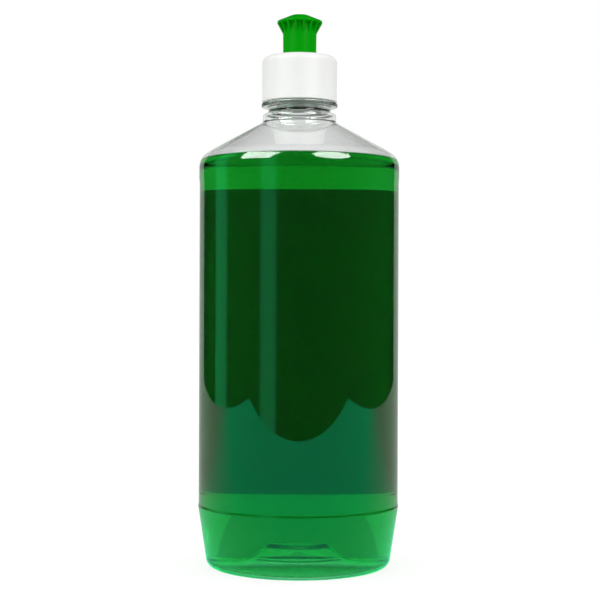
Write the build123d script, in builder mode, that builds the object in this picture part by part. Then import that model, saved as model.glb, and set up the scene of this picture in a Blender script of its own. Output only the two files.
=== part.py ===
from build123d import *
from math import acos, atan2, cos, radians, sin, tan
import os

# Clear round dish soap bottle with a white screw cap and a green push-pull nozzle.
# Millimetres and degrees. +Z is up and the origin is the middle of the base.
# The label is on the +Y side.

# Bottle body
body_radius = 43.4
body_wall = 0.5
neck_foot_height = 191.6      # where the shoulder's cone would reach the next radius
neck_foot_radius = 16.8
shoulder_slope = 29.2         # of the cone, above horizontal
shoulder_radius = 15.0
panel_top_gap = 2.33          # from the label's recess up to the shoulder's arc
panel_depth = 0.2
panel_ramp = 0.8

# Bottle base
band_top = 26.1               # height where the leaning band above the heel ends
band_land = 0.4               # from there to the label's recess
foot_inset = 9.8              # from the body to the outer edge of the ring that it stands on
foot_width = 0.9
heel_radius = 6.8
base_wall = 0.9
push_up = 11.0                # height of the hollow's flat middle
push_up_radius = 9.4
push_up_foot = 5.6            # height at the foot of the middle step
push_up_foot_radius = 14.4
gate_wall = 1.8
gate_radius = 2.0             # nub left by the injection gate
gate_length = 0.8

# Bottle neck and finish
bulge_radius = 15.9
bulge_height = 3.5
neck_radius = 13.4
neck_wall = 1.0
neck_slope = 20.0             # of the ledge over the bulge, above horizontal
waist_height = 2.4            # of the narrow part under the support ring
ring_radius = 16.5
ring_thickness = 1.7
finish_radius = 12.6
finish_height = 17.7          # from the support ring's top to the rim
finish_wall = 1.6
thread_pitch = 4.233
thread_depth = 1.15
thread_foot = 2.3             # width of a ridge at its foot
thread_crest = 1.1
finish_turns = 1.5
finish_thread_drop = 2.6      # from the rim down to the top end of its path

# Screw cap
cap_wall = 1.85
cap_side_gap = 0.65           # from its bore to the finish's thread
skirt_gap = 0.6               # from its lower edge to the support ring
deck_thickness = 1.4
deck_rounding = 2.8
cap_thread_clearance = 0.25   # between its crest and the finish
cap_turns = 1.25
chimney_radius = 5.9
chimney_wall = 1.3
chimney_height = 10.7         # above the deck
chimney_lip = 0.4             # how far the lip stands out
chimney_lip_height = 1.1
post_radius = 1.9
post_height = 6.8             # above the chimney
post_rounding = 0.5
bridge_thickness = 1.2
bridge_width = 1.4
bridges = 3

# Sealing ring
seal_thickness = 1.0
seal_overhang = 0.2           # inside the rim's bore line it stops this far short
seal_side_gap = 0.5           # to the cap's inner wall
seal_gap = 0.05               # to the rim and to the deck

# Nozzle
stem_wall = 0.75
stem_gap = 0.15               # to the chimney and its lip
flare_height = 4.6            # from the straight part up to the flange
flange_radius = 9.8
flange_thickness = 0.9
post_recess = 0.9             # from the post's tip up to the nozzle's top
head_depth = 3.8              # from the top down to the flange's lower edge
crown_radius = 3.6            # of the rounded middle
crown_drop = 0.25             # from the top to the crown's edge
ceiling_depth = 4.5           # from the top down to the bore's end
orifice_gap = 0.1             # round the post
orifice_length = 2.4
orifice_seat_radius = 3.4
bead_height = 1.1             # of the snap bead in the bore
pull_stroke = 5.0
deck_gap = 0.1
pockets = 16
pocket_width = 2.2
pocket_height = 5.0
pocket_top_gap = 0.3          # to the flange's lower edge
pocket_floor = 0.1            # left over the stem's radius

# Label
label_wrap = 148.0            # angle that it covers
label_thickness = 0.12
label_margin = 0.6            # from the recess's ends
label_gap = 0.02
label_corner = 2.0

# Dish soap
soap_drop = 15.8              # from the top of the shoulder's cone down to its surface
soap_gap = 0.05

# Heights and radii that follow from the values above
foot_radius = body_radius - foot_inset
panel_bottom = band_top + band_land + panel_ramp
panel_radius = body_radius - panel_depth
cone = radians(shoulder_slope)
shoulder_end_radius = body_radius - shoulder_radius * (1 - sin(cone))
shoulder_end = neck_foot_height - (shoulder_end_radius - neck_foot_radius) * tan(cone)
shoulder_start = shoulder_end - shoulder_radius * cos(cone)
panel_top = shoulder_start - panel_top_gap
soap_level = neck_foot_height - soap_drop
bulge_foot = neck_foot_height + (neck_foot_radius - bulge_radius) * tan(cone)
bulge_top = bulge_foot + bulge_height
waist_bottom = bulge_top + (bulge_radius - neck_radius) * tan(radians(neck_slope))
ring_bottom = waist_bottom + waist_height
ring_top = ring_bottom + ring_thickness
rim_height = ring_top + finish_height
bore_radius = finish_radius - finish_wall
deck_bottom = rim_height + seal_thickness + 2 * seal_gap
deck_top = deck_bottom + deck_thickness
cap_bottom = ring_top + skirt_gap
cap_bore_radius = finish_radius + thread_depth + cap_side_gap
cap_radius = cap_bore_radius + cap_wall
chimney_top = deck_top + chimney_height
chimney_bore_radius = chimney_radius - chimney_wall
lip_bottom = chimney_top - chimney_lip_height
stem_bore_radius = chimney_radius + chimney_lip + stem_gap
stem_radius = stem_bore_radius + stem_wall
bead_top = lip_bottom - pull_stroke - stem_gap
bead_radius = chimney_radius + stem_gap
orifice_radius = post_radius + orifice_gap
head_top = chimney_top + post_height + post_recess
flange_bottom = head_top - head_depth
ceiling = head_top - ceiling_depth


def heel_end(wall, heel_wall):
    """Point where the heel's arc runs into the leaning band, in the given wall's inner line."""
    reach = Vector(foot_inset - wall, band_top - heel_radius)
    arc = heel_radius - heel_wall
    angle = atan2(reach.Y, reach.X) - acos(arc / reach.length)
    return foot_radius + arc * cos(angle), heel_radius + arc * sin(angle)


def draw_vessel(wall, heel_wall, middle_wall):
    """Line from the base's middle to the top of the shoulder's arc, set in from the outside."""
    radius = body_radius - wall
    arc = shoulder_radius - wall
    arc_centre = Vector(body_radius - shoulder_radius, shoulder_start)
    end_angle = radians(90 - shoulder_slope)
    floor = FilletPolyline(
        (0, push_up + middle_wall), (push_up_radius, push_up + middle_wall),
        (push_up_foot_radius, push_up_foot + heel_wall), (foot_radius - foot_width, heel_wall),
        (foot_radius, heel_wall), radius=[1.5, 2.5, 2.0])
    heel = TangentArc(floor @ 1, heel_end(wall, heel_wall), tangent=(1, 0))
    side = FilletPolyline(
        heel @ 1, (radius, band_top), (radius, band_top + band_land),
        (radius - panel_depth, panel_bottom), (radius - panel_depth, panel_top),
        (radius, panel_top + panel_ramp), (radius, shoulder_start),
        radius=[0, 0, 0.4, 0.4, 0.4])
    shoulder = ThreePointArc(
        side @ 1,
        arc_centre + Vector(arc * cos(end_angle / 2), arc * sin(end_angle / 2)),
        arc_centre + Vector(arc * cos(end_angle), arc * sin(end_angle)))
    return shoulder @ 1


def draw_axis_close(top, bottom):
    """Lines that close a half section along the axis, from its last point."""
    Polyline(top, (0, top.Y), (0, bottom))


def add_ridge(path_radius, foot_radial, crest_radial, bottom, turns):
    """Screw ridge added to the open part, swept up its helix between the two radii."""
    path = Helix(thread_pitch, turns * thread_pitch, path_radius, center=(0, 0, bottom),
                 mode=Mode.PRIVATE)
    half_foot, half_crest = thread_foot / 2, thread_crest / 2
    with BuildSketch(Plane(origin=(0, 0, bottom), x_dir=(1, 0, 0), z_dir=(0, -1, 0))) as ridge_section:
        Polygon((foot_radial, -half_foot), (crest_radial, -half_crest), (crest_radial, half_crest),
                (foot_radial, half_foot), align=None)
    sweep(ridge_section.sketch, path=path, is_frenet=True)


with BuildPart() as bottle:
    with BuildSketch(Plane.XZ):
        with BuildLine():
            cone_start = draw_vessel(0, 0, 0)
            neck = FilletPolyline(
                cone_start, (bulge_radius, bulge_foot), (bulge_radius, bulge_top),
                (neck_radius, waist_bottom), (neck_radius, ring_bottom), (ring_radius, ring_bottom),
                (ring_radius, ring_top), (finish_radius, ring_top), (finish_radius, rim_height),
                (bore_radius, rim_height),
                radius=[1.2, 1.2, 0.8, 0.5, 0.5, 0.5, 0.5, 0.4])
            draw_axis_close(neck @ 1, push_up)
        make_face()
    revolve(axis=Axis.Z)
    with BuildSketch(Plane.XZ):
        with BuildLine():
            cone_start = draw_vessel(body_wall, base_wall, gate_wall)
            bulge_inner = bulge_radius - neck_wall
            bore = FilletPolyline(
                cone_start,
                (bulge_inner, cone_start.Y + (cone_start.X - bulge_inner) * tan(cone)),
                (bulge_inner, bulge_top - neck_wall / 2),
                (bore_radius, waist_bottom + neck_wall), (bore_radius, rim_height),
                radius=[1.2, 1.0, 1.5])
            draw_axis_close(bore @ 1, push_up + gate_wall)
        make_face()
    revolve(axis=Axis.Z, mode=Mode.SUBTRACT)
    with Locations((0, 0, push_up)):
        Cylinder(gate_radius, gate_length, align=(Align.CENTER, Align.CENTER, Align.MAX))
    add_ridge(finish_radius, finish_radius - 0.3, finish_radius + thread_depth,
              rim_height - finish_thread_drop - finish_turns * thread_pitch, finish_turns)
bottle.part.label = "bottle"

with BuildPart() as dish_soap:
    with BuildSketch(Plane.XZ):
        with BuildLine():
            cone_start = draw_vessel(body_wall + soap_gap, base_wall + soap_gap, gate_wall + soap_gap)
            draw_axis_close(cone_start, push_up + gate_wall + soap_gap)
        make_face()
    revolve(axis=Axis.Z)
    split(bisect_by=Plane.XY.offset(soap_level), keep=Keep.BOTTOM)
dish_soap.part.label = "dish_soap"

with BuildPart() as back_label:
    start_angle = 90 - label_wrap / 2
    with BuildSketch(Plane.XZ.rotated((0, 0, start_angle))):
        with Locations((panel_radius + label_gap, (panel_bottom + panel_top) / 2)):
            Rectangle(label_thickness, panel_top - panel_bottom - 2 * label_margin,
                      align=(Align.MIN, Align.CENTER))
    revolve(axis=Axis.Z, revolution_arc=label_wrap)
    corners = back_label.edges().filter_by(lambda edge: abs(edge.length - label_thickness) < 0.01)
    fillet(corners, label_corner)
back_label.part.label = "back_label"

with BuildPart() as screw_cap:
    with BuildSketch(Plane.XZ):
        with BuildLine():
            FilletPolyline(
                (cap_bore_radius, cap_bottom), (cap_radius, cap_bottom), (cap_radius, deck_top),
                (chimney_radius, deck_top), (chimney_radius, lip_bottom),
                (chimney_radius + chimney_lip, lip_bottom), (chimney_radius + chimney_lip, chimney_top),
                (chimney_bore_radius, chimney_top), (chimney_bore_radius, deck_bottom),
                (cap_bore_radius, deck_bottom),
                radius=[0.3, 0.3, deck_rounding, 0.3, 0, 0.1, 0.3, 0.2, 0.3, 0.4], close=True)
        make_face()
    revolve(axis=Axis.Z)
    with Locations((0, 0, chimney_top - bridge_thickness)):
        Cylinder(post_radius, bridge_thickness + post_height, align=(Align.CENTER, Align.CENTER, Align.MIN))
    tip = screw_cap.edges().filter_by(GeomType.CIRCLE).sort_by(Axis.Z)[-1]
    fillet(tip, post_rounding)
    with PolarLocations(0, bridges):
        with Locations((0, 0, chimney_top - bridge_thickness)):
            Box(chimney_bore_radius + chimney_wall / 2, bridge_width, bridge_thickness,
                align=(Align.MIN, Align.CENTER, Align.MIN))
    add_ridge(cap_bore_radius, cap_bore_radius + 0.3, finish_radius + cap_thread_clearance,
              rim_height - finish_thread_drop - finish_turns * thread_pitch - thread_pitch / 2, cap_turns)
screw_cap.part.label = "screw_cap"

with BuildPart() as sealing_ring:
    with BuildSketch(Plane.XY.offset(rim_height + seal_gap)):
        Circle(cap_bore_radius - seal_side_gap)
        Circle(bore_radius + seal_overhang, mode=Mode.SUBTRACT)
    extrude(amount=seal_thickness)
sealing_ring.part.label = "sealing_ring"

with BuildPart() as pocket:
    pocket_middle = flange_bottom - pocket_top_gap - pocket_height / 2
    with BuildSketch(Plane((stem_radius + pocket_floor, 0, pocket_middle),
                           x_dir=(0, 0, 1), z_dir=(1, 0, 0))):
        SlotOverall(pocket_height, pocket_width)
    extrude(amount=flange_radius - stem_radius)

with BuildPart() as nozzle:
    with BuildSketch(Plane.XZ):
        with BuildLine():
            FilletPolyline(
                (stem_bore_radius, deck_top + deck_gap), (stem_radius, deck_top + deck_gap),
                (stem_radius, flange_bottom - flare_height), (flange_radius, flange_bottom),
                (flange_radius, flange_bottom + flange_thickness), (crown_radius, head_top - crown_drop),
                (orifice_radius, head_top), (orifice_radius, head_top - orifice_length),
                (orifice_seat_radius, head_top - orifice_length),
                (stem_bore_radius, ceiling),
                (stem_bore_radius, bead_top), (bead_radius, bead_top),
                (bead_radius, bead_top - bead_height), (stem_bore_radius, bead_top - bead_height),
                radius=[0.1, 0.3, 5.0, 0.3, 0.3, 3.0, 0.2, 0.2, 0.3, 0.5, 0, 0.1, 0.1, 0], close=True)
        make_face()
    revolve(axis=Axis.Z)
    with PolarLocations(0, pockets):
        add(pocket.part, mode=Mode.SUBTRACT)
nozzle.part.label = "nozzle"

os.makedirs("parts", exist_ok=True)
for piece in (bottle, dish_soap, back_label, screw_cap, sealing_ring, nozzle):
    export_step(piece.part, "parts/" + piece.part.label + ".step")
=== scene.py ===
from math import acos, atan2, ceil, cos, degrees, hypot, pi, radians, sin, tan

import bmesh
import bpy
from mathutils import Matrix, Vector


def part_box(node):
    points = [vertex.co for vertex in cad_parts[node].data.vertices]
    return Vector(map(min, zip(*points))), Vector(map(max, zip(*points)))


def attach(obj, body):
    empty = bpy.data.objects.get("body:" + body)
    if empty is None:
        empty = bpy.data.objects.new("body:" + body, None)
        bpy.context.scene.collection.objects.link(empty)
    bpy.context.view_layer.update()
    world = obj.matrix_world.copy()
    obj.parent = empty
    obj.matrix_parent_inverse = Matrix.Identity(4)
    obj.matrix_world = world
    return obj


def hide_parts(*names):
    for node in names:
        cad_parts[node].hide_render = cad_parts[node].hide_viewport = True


# Dish soap bottle for the library. Metres; values in millimetres are multiplied by mm.
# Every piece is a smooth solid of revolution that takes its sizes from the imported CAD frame.

mm = 0.001
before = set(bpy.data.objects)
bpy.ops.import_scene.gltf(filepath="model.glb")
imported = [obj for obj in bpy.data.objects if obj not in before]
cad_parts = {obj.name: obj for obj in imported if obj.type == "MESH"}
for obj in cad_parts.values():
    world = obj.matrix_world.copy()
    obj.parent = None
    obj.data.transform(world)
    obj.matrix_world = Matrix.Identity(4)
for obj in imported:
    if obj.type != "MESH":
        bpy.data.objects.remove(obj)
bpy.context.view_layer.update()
print("frame loaded")


def corners(node):
    low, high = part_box(node)
    return low, high


bottleLow, bottleHigh = corners("bottle")
capLow, capHigh = corners("screw_cap")
nozzleLow, nozzleHigh = corners("nozzle")
labelLow, labelHigh = corners("back_label")
soapLow, soapHigh = corners("dish_soap")
sealLow, sealHigh = corners("sealing_ring")


# Outlines: a path of (radius, height) points whose corners are rounded with true arcs

def roundedPath(points, radii, step=6.0):
    path = [Vector(points[0])]
    for before, corner, after, radius in zip(points, points[1:], points[2:], radii):
        before, corner, after = Vector(before), Vector(corner), Vector(after)
        a, b = (before - corner).normalized(), (after - corner).normalized()
        half = acos(max(-1.0, min(1.0, a.dot(b)))) / 2
        if radius <= 0 or half > radians(89.9):
            path.append(corner)
            continue
        reach = min(radius / tan(half), 0.49 * min((before - corner).length, (after - corner).length))
        radius = reach * tan(half)
        centre = corner + (a + b).normalized() * (radius / sin(half))
        first, last = corner + a * reach - centre, corner + b * reach - centre
        start = atan2(first.y, first.x)
        turn = (atan2(last.y, last.x) - start + pi) % (2 * pi) - pi
        count = max(2, ceil(abs(degrees(turn)) / step))
        for i in range(count + 1):
            angle = start + turn * i / count
            path.append(centre + radius * Vector((cos(angle), sin(angle))))
    path.append(Vector(points[-1]))
    return path


def refine(path, longest):
    fine = [path[0]]
    for a, b in zip(path, path[1:]):
        count = max(1, ceil((b - a).length / longest))
        fine += [a.lerp(b, i / count) for i in range(1, count + 1)]
    return fine


def turnedMesh(name, outline, segments, closed, shape=None, arc=None):
    # Turns an outline, wound anticlockwise in the (radius, height) plane, round the Z axis.
    bm = bmesh.new()
    start, sweepAngle = (0, 2 * pi) if arc is None else arc
    full = arc is None
    columns = segments if full else segments + 1
    grid = []
    for j in range(columns):
        angle = start + sweepAngle * j / segments
        column = []
        for point in outline:
            radius = shape(point.x, point.y, angle) if shape else point.x
            column.append(bm.verts.new((radius * mm * cos(angle), radius * mm * sin(angle), point.y * mm)))
        grid.append(column)
    rows = len(outline) if closed else len(outline) - 1
    for j in range(segments):
        left, right = grid[j], grid[(j + 1) % columns]
        for i in range(rows):
            k = (i + 1) % len(outline)
            bm.faces.new((left[i], right[i], right[k], left[k]))
    if not full:
        bm.faces.new(list(reversed(grid[0])))
        bm.faces.new(grid[-1])
    bmesh.ops.remove_doubles(bm, verts=bm.verts, dist=1e-6)
    bmesh.ops.dissolve_degenerate(bm, edges=bm.edges, dist=1e-7)
    bmesh.ops.recalc_face_normals(bm, faces=bm.faces)
    mesh = bpy.data.meshes.new(name)
    bm.to_mesh(mesh)
    bm.free()
    made = bpy.data.objects.new(name, mesh)
    bpy.context.scene.collection.objects.link(made)
    mesh.shade_smooth()
    mesh.set_sharp_from_angle(angle=radians(32))
    weighting = made.modifiers.new("even_shading", "WEIGHTED_NORMAL")
    weighting.keep_sharp = True
    weighting.weight = 100
    return made


def place(piece, body, node, slotName, *materials):
    for material in materials:
        piece.data.materials.append(material)
    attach(piece, body)
    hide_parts(node)
    return piece


# Materials

def newMaterial(name):
    material = bpy.data.materials.new(name)
    material.use_nodes = True
    return material, material.node_tree.nodes, material.node_tree.links


def objectPosition(nodes, links, centre=(0, 0, 0)):
    coordinates = nodes.new("ShaderNodeTexCoord")
    mapping = nodes.new("ShaderNodeMapping")
    mapping.inputs["Location"].default_value = [-value for value in centre]
    links.new(coordinates.outputs["Object"], mapping.inputs["Vector"])
    return mapping.outputs["Vector"]


def plastic(name, look, centre):
    material, nodes, links = newMaterial(name)
    shader = nodes["Principled BSDF"]
    shader.inputs["Base Color"].default_value = (*look["colour"], 1)
    shader.inputs["IOR"].default_value = look["ior"]
    shader.inputs["Specular IOR Level"].default_value = look["sheen"]
    shader.inputs["Subsurface Weight"].default_value = look["glow"]
    shader.inputs["Subsurface Radius"].default_value = (1, 1, 1)
    shader.inputs["Subsurface Scale"].default_value = look["glowDepth"]
    noise = nodes.new("ShaderNodeTexNoise")
    noise.inputs["Scale"].default_value = look["grain"]
    noise.inputs["Detail"].default_value = 3
    links.new(objectPosition(nodes, links, centre), noise.inputs["Vector"])
    spread = nodes.new("ShaderNodeMapRange")
    spread.inputs["To Min"].default_value = look["roughness"] - look["roughnessSpread"]
    spread.inputs["To Max"].default_value = look["roughness"] + look["roughnessSpread"]
    links.new(noise.outputs["Fac"], spread.inputs["Value"])
    links.new(spread.outputs["Result"], shader.inputs["Roughness"])
    return material


def clearPet(name, ior):
    material, nodes, links = newMaterial(name)
    shader = nodes["Principled BSDF"]
    shader.inputs["Base Color"].default_value = (*petLook["tint"], 1)
    shader.inputs["Roughness"].default_value = 0
    shader.inputs["IOR"].default_value = ior
    shader.inputs["Transmission Weight"].default_value = 1
    path = nodes.new("ShaderNodeLightPath")
    through = nodes.new("ShaderNodeBsdfTransparent")
    mix = nodes.new("ShaderNodeMixShader")
    links.new(path.outputs["Is Shadow Ray"], mix.inputs["Fac"])
    links.new(shader.outputs["BSDF"], mix.inputs[1])
    links.new(through.outputs["BSDF"], mix.inputs[2])
    links.new(mix.outputs["Shader"], nodes["Material Output"].inputs["Surface"])
    return material


capLook = {"colour": (0.84, 0.84, 0.83), "ior": 1.5, "sheen": 0.2, "roughness": 0.38, "roughnessSpread": 0.04,
           "grain": 900, "glow": 0.15, "glowDepth": 0.001}
nozzleLook = {"colour": (0.0005, 0.31, 0.002), "ior": 1.5, "sheen": 0.02, "roughness": 0.3, "roughnessSpread": 0.04,
              "grain": 900, "glow": 0.1, "glowDepth": 0.001}
sealLook = {"colour": (0.85, 0.85, 0.82), "ior": 1.4, "sheen": 0.2, "roughness": 0.7, "roughnessSpread": 0.05,
            "grain": 2500, "glow": 0, "glowDepth": 0.001}
petLook = {"ior": 1.575, "tint": (0.945, 0.955, 0.948)}
soapLook = {"ior": 1.36, "density": 90, "colour": (0.055, 0.812, 0.344)}
labelLook = {"front": (0.86, 0.86, 0.85), "through": (0.3, 0.3, 0.3), "share": 0.6}

capMiddle = (capLow + capHigh) / 2
nozzleMiddle = (nozzleLow + nozzleHigh) / 2
whitePlastic = plastic("whitePlastic", capLook, capMiddle)
greenPlastic = plastic("greenPlastic", nozzleLook, nozzleMiddle)
sealFoam = plastic("sealFoam", sealLook, (sealLow + sealHigh) / 2)
pet = clearPet("pet", petLook["ior"])
wetPet = clearPet("wetPet", petLook["ior"] / soapLook["ior"])

labelFilm, nodes, links = newMaterial("labelFilm")
nodes.remove(nodes["Principled BSDF"])
front = nodes.new("ShaderNodeBsdfDiffuse")
front.inputs["Color"].default_value = (*labelLook["front"], 1)
back = nodes.new("ShaderNodeBsdfTranslucent")
back.inputs["Color"].default_value = (*labelLook["through"], 1)
share = nodes.new("ShaderNodeMixShader")
share.inputs["Fac"].default_value = labelLook["share"]
links.new(front.outputs["BSDF"], share.inputs[1])
links.new(back.outputs["BSDF"], share.inputs[2])
links.new(share.outputs["Shader"], nodes["Material Output"].inputs["Surface"])

soapMaterial, nodes, links = newMaterial("soap")
surface = nodes["Principled BSDF"]
surface.inputs["Base Color"].default_value = (1, 1, 1, 1)
surface.inputs["Roughness"].default_value = 0
surface.inputs["IOR"].default_value = soapLook["ior"]
surface.inputs["Transmission Weight"].default_value = 1
contact = nodes.new("ShaderNodeBsdfTransparent")
height = nodes.new("ShaderNodeSeparateXYZ")
links.new(objectPosition(nodes, links, (0, 0, soapHigh.z - 0.1 * mm)), height.inputs["Vector"])
isTop = nodes.new("ShaderNodeMath")
isTop.operation = "GREATER_THAN"
isTop.inputs[1].default_value = 0
links.new(height.outputs["Z"], isTop.inputs[0])
choose = nodes.new("ShaderNodeMixShader")
links.new(isTop.outputs["Value"], choose.inputs["Fac"])
links.new(contact.outputs["BSDF"], choose.inputs[1])
links.new(surface.outputs["BSDF"], choose.inputs[2])
links.new(choose.outputs["Shader"], nodes["Material Output"].inputs["Surface"])
absorption = nodes.new("ShaderNodeVolumeAbsorption")
absorption.inputs["Color"].default_value = (*soapLook["colour"], 1)
absorption.inputs["Density"].default_value = soapLook["density"]
links.new(absorption.outputs["Volume"], nodes["Material Output"].inputs["Volume"])
print("materials made")

# Bottle: body, shoulder, neck and threaded finish in one blown shell

bottleValues = {
    "segments": 240,
    "wall": 0.5, "baseWall": 0.9, "gateWall": 1.8,
    "shoulderSlope": 29.2, "shoulderRadius": 15.0,
    "coneTopRadius": 16.8, "coneTop": 191.6,
    "panelDepth": 0.2, "panelRamp": 0.8, "panelTopRamp": 2.2, "bandTop": 26.1, "bandLand": 0.4,
    "footRadius": 33.6, "footWidth": 0.9, "heelRadius": 6.8, "heelCorner": 39.41,
    "pushUp": 11.0, "pushUpRadius": 9.4, "stepHeight": 5.6, "stepRadius": 14.4,
    "bulgeRadius": 15.9, "bulgeHeight": 3.5, "neckRadius": 13.4, "neckWall": 1.0,
    "waistTop": 198.91, "ringRadius": 16.5, "ringThickness": 1.7,
    "finishRadius": 12.6, "boreRadius": 11.0,
    "pitch": 4.233, "threadDepth": 1.15, "threadFoot": 2.3, "threadCrest": 1.1,
    "threadTurns": 1.5, "threadDrop": 2.6,
}
b = bottleValues
bodyRadius = bottleHigh.x / mm
rim = bottleHigh.z / mm
panelTop = labelHigh.z / mm + 0.6
panelBottom = b["bandTop"] + b["bandLand"] + b["panelRamp"]
slope = tan(radians(b["shoulderSlope"]))


def vesselPath(wall, heelWall, middleWall):
    radius = bodyRadius - wall
    lift = wall / cos(radians(b["shoulderSlope"]))
    coneCorner = b["coneTop"] - (radius - b["coneTopRadius"]) * slope - lift
    lean = (bodyRadius - b["heelCorner"]) / b["bandTop"]
    heel = b["heelCorner"] + heelWall * lean - wall * hypot(1, lean)
    points = [
        (0, b["pushUp"] + middleWall), (b["pushUpRadius"], b["pushUp"] + middleWall),
        (b["stepRadius"], b["stepHeight"] + heelWall), (b["footRadius"] - b["footWidth"], heelWall),
        (heel, heelWall), (radius, b["bandTop"]), (radius, b["bandTop"] + b["bandLand"]),
        (radius - b["panelDepth"], panelBottom), (radius - b["panelDepth"], panelTop),
        (radius, panelTop + b["panelTopRamp"]), (radius, coneCorner)]
    radii = [1.5, 2.5, 2.0, b["heelRadius"] - heelWall, 0.5, 0.5, 0.5, 3, 3]
    return points, radii + [b["shoulderRadius"] - wall]


def ridge(offset):
    # Height of a thread ridge's section over its foot, offset from the ridge's middle.
    slopeWidth = (b["threadFoot"] - b["threadCrest"]) / 2
    return max(0.0, min(1.0, (b["threadFoot"] / 2 - abs(offset)) / slopeWidth))


def helixRidge(height, angle, bottom, turns):
    best = 0.0
    for lap in range(ceil(turns) + 1):
        along = angle / (2 * pi) + lap
        fade = min(1.0, max(0.0, min(along, turns - along) * 12))
        best = max(best, fade * ridge(height - bottom - along * b["pitch"]))
    return best


threadBottom = rim - b["threadDrop"] - b["threadTurns"] * b["pitch"]
bulgeFoot = b["coneTop"] + (b["coneTopRadius"] - b["bulgeRadius"]) * slope
bulgeTop = bulgeFoot + b["bulgeHeight"]
waistBottom = bulgeTop + (b["bulgeRadius"] - b["neckRadius"]) * tan(radians(20))
ringTop = b["waistTop"] + b["ringThickness"]
points, radii = vesselPath(0, 0, 0)
outer = roundedPath(
    points + [(b["bulgeRadius"], bulgeFoot), (b["bulgeRadius"], bulgeTop), (b["neckRadius"], waistBottom),
              (b["neckRadius"], b["waistTop"]), (b["ringRadius"], b["waistTop"]), (b["ringRadius"], ringTop),
              (b["finishRadius"], ringTop), (b["finishRadius"], rim), (b["boreRadius"], rim),
              (b["boreRadius"], rim - 1)],
    radii + [1.2, 1.2, 0.8, 0.5, 0.5, 0.5, 0.5, 0.4, 0.4])
points, radii = vesselPath(b["wall"], b["baseWall"], b["gateWall"])
bulgeInner = b["bulgeRadius"] - b["neckWall"]
coneInner = b["coneTop"] + (b["coneTopRadius"] - bulgeInner) * slope - b["wall"] / cos(radians(b["shoulderSlope"]))
inner = roundedPath(
    points + [(bulgeInner, coneInner), (bulgeInner, bulgeTop - b["neckWall"] / 2),
              (b["boreRadius"], waistBottom + b["neckWall"]), (b["boreRadius"], rim - 1)],
    radii + [1.2, 1.0, 1.5])
threadZone = [p for p in outer if p.x > b["finishRadius"] - 0.01 and p.y >= ringTop]
outline = []
for a, c in zip(outer, outer[1:]):
    outline.append(a)
    if abs(a.x - b["finishRadius"]) < 0.01 and abs(c.x - b["finishRadius"]) < 0.01:
        outline += refine([a, c], 0.2)[1:-1]
outline += [outer[-1]] + list(reversed(inner))[1:]


def finishShape(radius, height, angle):
    if abs(radius - b["finishRadius"]) < 0.01 and height > ringTop:
        return radius + b["threadDepth"] * helixRidge(height, angle, threadBottom, b["threadTurns"])
    return radius


bottlePiece = turnedMesh("bottle_shell", outline, b["segments"], False, finishShape)
place(bottlePiece, "bottle", "bottle", "clear_pet", pet, wetPet)
soapLevel = soapHigh.z
innerLimit = b["wall"] * 0.5 * mm
for face in bottlePiece.data.polygons:
    centre = face.center
    inward = Vector((centre.x, centre.y, 0)).dot(face.normal) < 0
    onFloor = face.normal.z > 0 and centre.z < b["bandTop"] * mm and not inward
    if centre.z < soapLevel and (inward or onFloor) and centre.z > 0.4 * mm:
        insideBase = centre.z > b["baseWall"] * 0.5 * mm
        if insideBase:
            face.material_index = 1
print("bottle made")

# Dish soap: fills the shell to its level, with a small meniscus against the wall

soapValues = {"gap": 0.05, "meniscus": 0.2, "meniscusWidth": 1.2, "segments": 240}
points, radii = vesselPath(b["wall"] + soapValues["gap"], b["baseWall"] + soapValues["gap"],
                           b["gateWall"] + soapValues["gap"])
wallPath = roundedPath(points + [(bulgeInner, coneInner)], radii)
level = soapLevel / mm
soapOutline = []
for a, c in zip(wallPath, wallPath[1:]):
    soapOutline.append(a)
    if c.y > level and a.y <= level and a.x > 30:
        edge = a.lerp(c, (level - a.y) / (c.y - a.y))
        soapOutline.append(edge)
        break
dip = soapValues["meniscus"]
for share in (0.25, 0.5, 0.75, 1.0):
    soapOutline.append(Vector((edge.x - soapValues["meniscusWidth"] * share, level - dip * (1 - (1 - share) ** 2))))
soapOutline.append(Vector((0, level - dip)))
soapPiece = turnedMesh("soap_fill", soapOutline, soapValues["segments"], False)
place(soapPiece, "bottle", "dish_soap", "green_soap", soapMaterial)
isTop.inputs[1].default_value = -(dip + 0.05) * mm
print("soap made")

# Label film on the back

labelValues = {"wrap": 148.0, "thickness": 0.12, "gap": 0.02, "segments": 96}
labelRadius = bodyRadius - b["panelDepth"] + labelValues["gap"]
low, high = labelLow.z / mm, labelHigh.z / mm
labelOutline = [Vector(p) for p in (
    (labelRadius, low), (labelRadius + labelValues["thickness"], low),
    (labelRadius + labelValues["thickness"], high), (labelRadius, high))]
wrap = radians(labelValues["wrap"])
labelPiece = turnedMesh("label_film", labelOutline, labelValues["segments"], True,
                        arc=(pi / 2 - wrap / 2, wrap))
place(labelPiece, "bottle", "back_label", "label_film", labelFilm)
print("label made")

# Screw cap with its inner thread, chimney and orifice post

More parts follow.
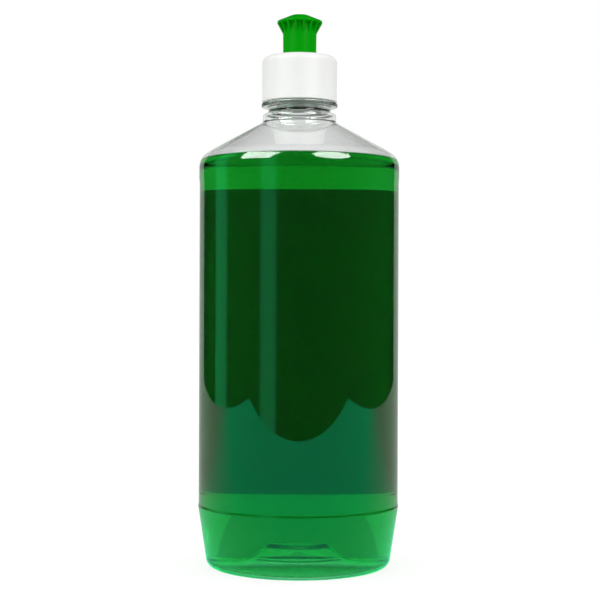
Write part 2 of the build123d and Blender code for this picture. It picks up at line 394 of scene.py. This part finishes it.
capValues = {"segments": 192, "wall": 1.85, "deck": 1.4, "rounding": 2.8, "clearance": 0.25, "turns": 1.25,
             "chimney": 5.9, "chimneyWall": 1.3, "chimneyHeight": 10.7, "lip": 0.4, "lipHeight": 1.1,
             "post": 1.9, "bridge": 1.2, "bridgeWidth": 1.4, "bridges": 3}
c = capValues
capRadius = capHigh.x / mm
capBore = capRadius - c["wall"]
capBottom = capLow.z / mm
postTop = capHigh.z / mm
deckTop = nozzleLow.z / mm - 0.1
deckBottom = deckTop - c["deck"]
chimneyTop = deckTop + c["chimneyHeight"]
chimneyBore = c["chimney"] - c["chimneyWall"]
lipRadius = c["chimney"] + c["lip"]
capPoints = [
    (capBore, (capBottom + deckBottom) / 2), (capBore, capBottom), (capRadius, capBottom), (capRadius, deckTop),
    (c["chimney"], deckTop), (c["chimney"], chimneyTop - c["lipHeight"]), (lipRadius, chimneyTop - c["lipHeight"]),
    (lipRadius, chimneyTop), (chimneyBore, chimneyTop), (chimneyBore, deckBottom), (capBore, deckBottom),
    (capBore, (capBottom + deckBottom) / 2)]
capPath = roundedPath(capPoints, [0.3, 0.3, c["rounding"], 0.3, 0, 0.1, 0.3, 0.2, 0.3, 0.4])[:-1]
capOutline = []
for a, e in zip(capPath, capPath[1:] + capPath[:1]):
    capOutline.append(a)
    if abs(a.x - capBore) < 0.01 and abs(e.x - capBore) < 0.01:
        capOutline += refine([a, e], 0.25)[1:-1]
crest = b["finishRadius"] + c["clearance"]


def capShape(radius, height, angle):
    if abs(radius - capBore) < 0.01:
        rise = helixRidge(height, angle, threadBottom - b["pitch"] / 2, c["turns"])
        return radius - (capBore - crest) * rise
    return radius


capPiece = turnedMesh("cap_shell", capOutline, c["segments"], True, capShape)
place(capPiece, "cap", "screw_cap", "white_plastic", whitePlastic)
postOutline = roundedPath([(0, chimneyTop - c["bridge"]), (c["post"], chimneyTop - c["bridge"]),
                           (c["post"], postTop), (0, postTop)], [0, 0.5])
postPiece = turnedMesh("orifice_post", postOutline, 64, False)
postPiece.data.materials.append(whitePlastic)
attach(postPiece, "cap")
print("cap made")


# Geometry Nodes: copies of one small mesh spaced evenly round the axis

def ringOfCopies(name, single, count, material):
    tree = bpy.data.node_groups.new(name + "_tree", "GeometryNodeTree")
    face = tree.interface
    face.new_socket("Geometry", in_out="INPUT", socket_type="NodeSocketGeometry")
    countSocket = face.new_socket("Count", in_out="INPUT", socket_type="NodeSocketInt")
    materialSocket = face.new_socket("Material", in_out="INPUT", socket_type="NodeSocketMaterial")
    face.new_socket("Geometry", in_out="OUTPUT", socket_type="NodeSocketGeometry")
    nodes, links = tree.nodes, tree.links
    given = nodes.new("NodeGroupInput")
    result = nodes.new("NodeGroupOutput")
    line = nodes.new("GeometryNodeMeshLine")
    line.inputs["Offset"].default_value = (0, 0, 0)
    index = nodes.new("GeometryNodeInputIndex")
    turn = nodes.new("ShaderNodeMath")
    turn.operation = "DIVIDE"
    circle = nodes.new("ShaderNodeMath")
    circle.operation = "MULTIPLY"
    circle.inputs[1].default_value = 2 * pi
    rotation = nodes.new("ShaderNodeCombineXYZ")
    instances = nodes.new("GeometryNodeInstanceOnPoints")
    realize = nodes.new("GeometryNodeRealizeInstances")
    setMaterial = nodes.new("GeometryNodeSetMaterial")
    links.new(given.outputs["Count"], line.inputs["Count"])
    links.new(index.outputs["Index"], turn.inputs[0])
    links.new(given.outputs["Count"], turn.inputs[1])
    links.new(turn.outputs["Value"], circle.inputs[0])
    links.new(circle.outputs["Value"], rotation.inputs["Z"])
    links.new(line.outputs["Mesh"], instances.inputs["Points"])
    links.new(given.outputs["Geometry"], instances.inputs["Instance"])
    links.new(rotation.outputs["Vector"], instances.inputs["Rotation"])
    links.new(instances.outputs["Instances"], realize.inputs["Geometry"])
    links.new(realize.outputs["Geometry"], setMaterial.inputs["Geometry"])
    links.new(given.outputs["Material"], setMaterial.inputs["Material"])
    links.new(setMaterial.outputs["Geometry"], result.inputs["Geometry"])
    modifier = single.modifiers.new("copies", "NODES")
    modifier.node_group = tree
    modifier[countSocket.identifier] = count
    modifier[materialSocket.identifier] = material
    bpy.context.view_layer.update()
    evaluated = single.evaluated_get(bpy.context.evaluated_depsgraph_get())
    mesh = bpy.data.meshes.new_from_object(evaluated)
    mesh.name = name
    made = bpy.data.objects.new(name, mesh)
    bpy.context.scene.collection.objects.link(made)
    bpy.data.objects.remove(single)
    return made


def solidFromSection(name, section, thickness):
    # A section in the XZ plane, thickened evenly to both sides along Y.
    bm = bmesh.new()
    sides = []
    for side in (-thickness / 2, thickness / 2):
        sides.append([bm.verts.new((p[0] * mm, side * mm, p[1] * mm)) for p in section])
    bm.faces.new(sides[0])
    bm.faces.new(list(reversed(sides[1])))
    for i in range(len(section)):
        k = (i + 1) % len(section)
        bm.faces.new((sides[0][i], sides[1][i], sides[1][k], sides[0][k]))
    bmesh.ops.recalc_face_normals(bm, faces=bm.faces)
    mesh = bpy.data.meshes.new(name)
    bm.to_mesh(mesh)
    bm.free()
    made = bpy.data.objects.new(name, mesh)
    bpy.context.scene.collection.objects.link(made)
    return made


bridgeSection = [(0.5, chimneyTop - c["bridge"]), (c["chimney"] - c["chimneyWall"] / 2, chimneyTop - c["bridge"]),
                 (c["chimney"] - c["chimneyWall"] / 2, chimneyTop - 0.02), (0.5, chimneyTop - 0.02)]
bridgePiece = ringOfCopies("post_bridges", solidFromSection("bridge", bridgeSection, c["bridgeWidth"]),
                           c["bridges"], whitePlastic)
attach(bridgePiece, "cap")

# Sealing ring

sealOutline = [Vector(p) for p in (
    (11.2, sealLow.z / mm), (sealHigh.x / mm, sealLow.z / mm),
    (sealHigh.x / mm, sealHigh.z / mm), (11.2, sealHigh.z / mm))]
sealPiece = turnedMesh("seal_disc", sealOutline, 128, True)
place(sealPiece, "ring", "sealing_ring", "seal_foam", sealFoam)

# Nozzle: a turned core, and ribs of the grip between its pockets

nozzleValues = {"segments": 192, "stem": 7.2, "bore": 6.45, "flareHeight": 4.6, "headDepth": 3.8, "flange": 0.9,
                "crown": 3.6, "crownDrop": 0.25, "orifice": 2.0, "orificeLength": 2.4, "seat": 3.4,
                "ceiling": 4.5, "floor": 0.1, "ribs": 16, "pocketWidth": 2.2, "pocketTopGap": 0.3,
                "pocketHeight": 5.0}
n = nozzleValues
headTop = deckTop + c["chimneyHeight"] + 6.8 + 0.9
nozzleBottom = nozzleLow.z / mm
flangeRadius = nozzleHigh.x / mm
flangeBottom = headTop - n["headDepth"]
pocketTop = flangeBottom - n["pocketTopGap"]
flareFoot = flangeBottom - n["flareHeight"]
coreOutline = roundedPath(
    [(n["bore"], nozzleBottom + 2), (n["bore"], nozzleBottom), (n["stem"], nozzleBottom),
     (n["stem"] + n["floor"], flareFoot), (n["stem"] + n["floor"], pocketTop), (flangeRadius, flangeBottom),
     (flangeRadius, flangeBottom + n["flange"]), (n["crown"], headTop - n["crownDrop"]), (n["orifice"], headTop),
     (n["orifice"], headTop - n["orificeLength"]), (n["seat"], headTop - n["orificeLength"]),
     (n["bore"], headTop - n["ceiling"]), (n["bore"], nozzleBottom + 2)],
    [0.1, 0.3, 5, 0.4, 0.3, 0.3, 3.0, 0.2, 0.2, 0.3, 0.5])[:-1]
corePiece = turnedMesh("nozzle_core", coreOutline, n["segments"], True)
place(corePiece, "nozzle", "nozzle", "green_plastic", greenPlastic)
flare = roundedPath([(n["stem"], flareFoot - 2), (n["stem"], flareFoot), (flangeRadius, flangeBottom + 0.15)], [5.0])
ribSection = [(n["stem"] - 0.3, flareFoot - 2)] + [tuple(p) for p in flare] + [(n["stem"] - 0.3, flangeBottom + 0.15)]
ribWidth = 2 * pi * (n["stem"] + 0.6) / n["ribs"] - n["pocketWidth"]
rib = solidFromSection("rib", ribSection, ribWidth)
rib.data.transform(Matrix.Rotation(pi / n["ribs"], 4, "Z"))
ribPiece = ringOfCopies("grip_ribs", rib, n["ribs"], greenPlastic)
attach(ribPiece, "nozzle")
print("nozzle made")

# Stage: white floor, which in reflections glows with a painted teal-green reflection, and two softboxes in front that
# show only in reflections

# floorReflected and floorReflectedBehind are painted reflection colours: the floor glows with them in reflections
# only
stageValues = {"floorHalfWidth": 1.0, "floorFront": -0.65, "floorBack": 3.0, "floorLift": 0.76, "floorShade": 0.25, "floorThrough": 0.6,
               "floorReflected": (0.03, 1.6, 0.7),
               "floorReflectedBehind": (0.5, 0.6, 0.5), "floorTurn": (-0.1, 0.2), "softboxGlow": 13.0,
               "softboxTint": (0.93, 1.0, 0.94), "softboxTarget": (0, 0, 0.17),
               "leftSoftbox": (-0.62, -0.5, 0.68), "leftSoftboxSize": 0.62,
               "rightSoftbox": (0.566, -0.664, 0.726), "rightSoftboxSize": 0.74}


def flatPanel(name, centre, width, depth, target=None, sides=4):
    # A flat panel with that many corners, facing up, or facing the target.
    mesh = bpy.data.meshes.new(name)
    reach = 0.5 / cos(pi / sides)
    angles = [2 * pi * (i + 0.5) / sides for i in range(sides)]
    mesh.from_pydata([(width * reach * cos(t), depth * reach * sin(t), 0) for t in angles], [],
                     [tuple(range(sides))])
    if target is not None:
        turn = (Vector(target) - Vector(centre)).to_track_quat("-Z", "Y").to_matrix().to_4x4()
        mesh.transform(turn)
    mesh.transform(Matrix.Translation(centre))
    panel = bpy.data.objects.new(name, mesh)
    bpy.context.scene.collection.objects.link(panel)
    return panel


s = stageValues
floorMaterial, nodes, links = newMaterial("floorWhiteWithPaintedReflection")
floorShader = nodes["Principled BSDF"]
floorShader.inputs["Base Color"].default_value = (*(s["floorShade"],) * 3, 1)
floorShader.inputs["Roughness"].default_value = 1
floorShader.inputs["Specular IOR Level"].default_value = 0
floorShader.inputs["Emission Color"].default_value = (1, 1, 1, 1)
floorShader.inputs["Emission Strength"].default_value = s["floorLift"]
# For reflection rays the floor is a painted reflection: it glows teal-green at the front and pale green-grey towards
# the back, instead of showing its white
reflected = nodes.new("ShaderNodeEmission")
path = nodes.new("ShaderNodeLightPath")
seenThrough = nodes.new("ShaderNodeBsdfDiffuse")
seenThrough.inputs["Color"].default_value = (*(s["floorThrough"],) * 3, 1)
forCamera = nodes.new("ShaderNodeMixShader")
links.new(path.outputs["Is Camera Ray"], forCamera.inputs["Fac"])
links.new(seenThrough.outputs["BSDF"], forCamera.inputs[1])
links.new(floorShader.outputs["BSDF"], forCamera.inputs[2])
mix = nodes.new("ShaderNodeMixShader")
isReflection = nodes.new("ShaderNodeMath")
isReflection.operation = "SUBTRACT"
isReflection.use_clamp = True
links.new(path.outputs["Is Glossy Ray"], isReflection.inputs[0])
links.new(path.outputs["Is Transmission Ray"], isReflection.inputs[1])
floorPlace = nodes.new("ShaderNodeSeparateXYZ")
links.new(objectPosition(nodes, links), floorPlace.inputs["Vector"])
backward = nodes.new("ShaderNodeMapRange")
backward.inputs["From Min"].default_value, backward.inputs["From Max"].default_value = s["floorTurn"]
links.new(floorPlace.outputs["Y"], backward.inputs["Value"])
paintedReflectionColour = nodes.new("ShaderNodeMix")
paintedReflectionColour.data_type = "RGBA"
paintedReflectionColour.inputs[6].default_value = (*s["floorReflected"], 1)
paintedReflectionColour.inputs[7].default_value = (*s["floorReflectedBehind"], 1)
links.new(backward.outputs["Result"], paintedReflectionColour.inputs["Factor"])
links.new(paintedReflectionColour.outputs[2], reflected.inputs["Color"])
links.new(isReflection.outputs["Value"], mix.inputs["Fac"])
links.new(forCamera.outputs["Shader"], mix.inputs[1])
links.new(reflected.outputs["Emission"], mix.inputs[2])
links.new(mix.outputs["Shader"], nodes["Material Output"].inputs["Surface"])
floor = flatPanel("floor", (0, (s["floorFront"] + s["floorBack"]) / 2, 0), 2 * s["floorHalfWidth"],
                  s["floorBack"] - s["floorFront"])
floor.data.materials.append(floorMaterial)

softboxMaterial, nodes, links = newMaterial("softboxCloth")
nodes.remove(nodes["Principled BSDF"])
glow = nodes.new("ShaderNodeEmission")
glow.inputs["Color"].default_value = (*s["softboxTint"], 1)
glow.inputs["Strength"].default_value = s["softboxGlow"]
links.new(glow.outputs["Emission"], nodes["Material Output"].inputs["Surface"])
for name, centre, width, sides in (("softbox_left", s["leftSoftbox"], s["leftSoftboxSize"], 4),
                                   ("softbox_right", s["rightSoftbox"], s["rightSoftboxSize"], 8)):
    softbox = flatPanel(name, centre, width, width, s["softboxTarget"], sides)
    softbox.data.materials.append(softboxMaterial)
    softbox.visible_diffuse = False
    softbox.visible_camera = False

# World: white to the camera and through the clear pieces; in reflections it is a dark room
# with a white back wall and two bright upright strips at the left

worldValues = {"diffuse": 1.2, "wallHalfAngle": 39, "dark": 0.0, "wallTop": 0.35, "wall": (0.52, 0.62, 0.53), "soft": 0.5,
               "strips": ((-100, 26, (0.05, 1.1, 0.4)), (-35, 24, (0.05, 1.1, 0.4)))}
w = worldValues
world = bpy.data.worlds.new("studio")
bpy.context.scene.world = world
world.use_nodes = True
nodes, links = world.node_tree.nodes, world.node_tree.links
nodes.clear()


def mathNode(operation, first, second=None, value=None):
    node = nodes.new("ShaderNodeMath")
    node.operation = operation
    links.new(first, node.inputs[0])
    if second is not None:
        links.new(second, node.inputs[1])
    if value is not None:
        node.inputs[1].default_value = value
    return node.outputs["Value"]


direction = nodes.new("ShaderNodeSeparateXYZ")
links.new(nodes.new("ShaderNodeTexCoord").outputs["Generated"], direction.inputs["Vector"])
frontward = mathNode("MULTIPLY", direction.outputs["Y"], value=-1)
azimuth = mathNode("MULTIPLY", mathNode("ARCTAN2", direction.outputs["X"], frontward), value=180 / pi)
isBehind = mathNode("GREATER_THAN", mathNode("ABSOLUTE", azimuth), value=180 - w["wallHalfAngle"])
isLow = mathNode("LESS_THAN", direction.outputs["Z"], value=w["wallTop"])
isWall = mathNode("MULTIPLY", isBehind, isLow)


def colourMix(factor, first, second):
    node = nodes.new("ShaderNodeMix")
    node.data_type = "RGBA"
    links.new(factor, node.inputs["Factor"])
    for socket, value in ((node.inputs[6], first), (node.inputs[7], second)):
        if isinstance(value, tuple):
            socket.default_value = (*value, 1)
        else:
            links.new(value, socket)
    return node.outputs[2]


room = colourMix(isWall, (w["dark"],) * 3, w["wall"])
for middle, width, colour in w["strips"]:
    away = mathNode("ABSOLUTE", mathNode("SUBTRACT", azimuth, value=middle))
    fade = nodes.new("ShaderNodeMapRange")
    fade.interpolation_type = "SMOOTHSTEP"
    fade.inputs["From Min"].default_value = width / 2
    fade.inputs["From Max"].default_value = width / 2 * w["soft"]
    links.new(away, fade.inputs["Value"])
    room = colourMix(fade.outputs["Result"], room, colour)
path = nodes.new("ShaderNodeLightPath")
direct = mathNode("MAXIMUM", path.outputs["Is Camera Ray"], path.outputs["Is Transmission Ray"])
light = colourMix(path.outputs["Is Glossy Ray"], (w["diffuse"],) * 3, room)
light = colourMix(direct, light, (1.0, 1.0, 1.0))
background = nodes.new("ShaderNodeBackground")
links.new(light, background.inputs["Color"])
links.new(background.outputs["Background"], nodes.new("ShaderNodeOutputWorld").inputs["Surface"])

# Camera, level in front of the bottle

cameraValues = {"place": (0.0005, -0.634, 0.1139), "lens": 87.4, "roll": 0.2, "shiftUp": 0.005}
cameraData = bpy.data.cameras.new("camera")
camera = bpy.data.objects.new("camera", cameraData)
bpy.context.scene.collection.objects.link(camera)
cameraData.sensor_width = 36
cameraData.lens = cameraValues["lens"]
cameraData.shift_y = cameraValues["shiftUp"]
cameraData.clip_start = 0.01
camera.matrix_world = (Matrix.Translation(cameraValues["place"]) @ Matrix.Rotation(pi / 2, 4, "X")
                       @ Matrix.Rotation(radians(cameraValues["roll"]), 4, "Z"))
bpy.context.scene.camera = camera
bpy.context.scene.view_settings.view_transform = "Standard"
print("stage made")
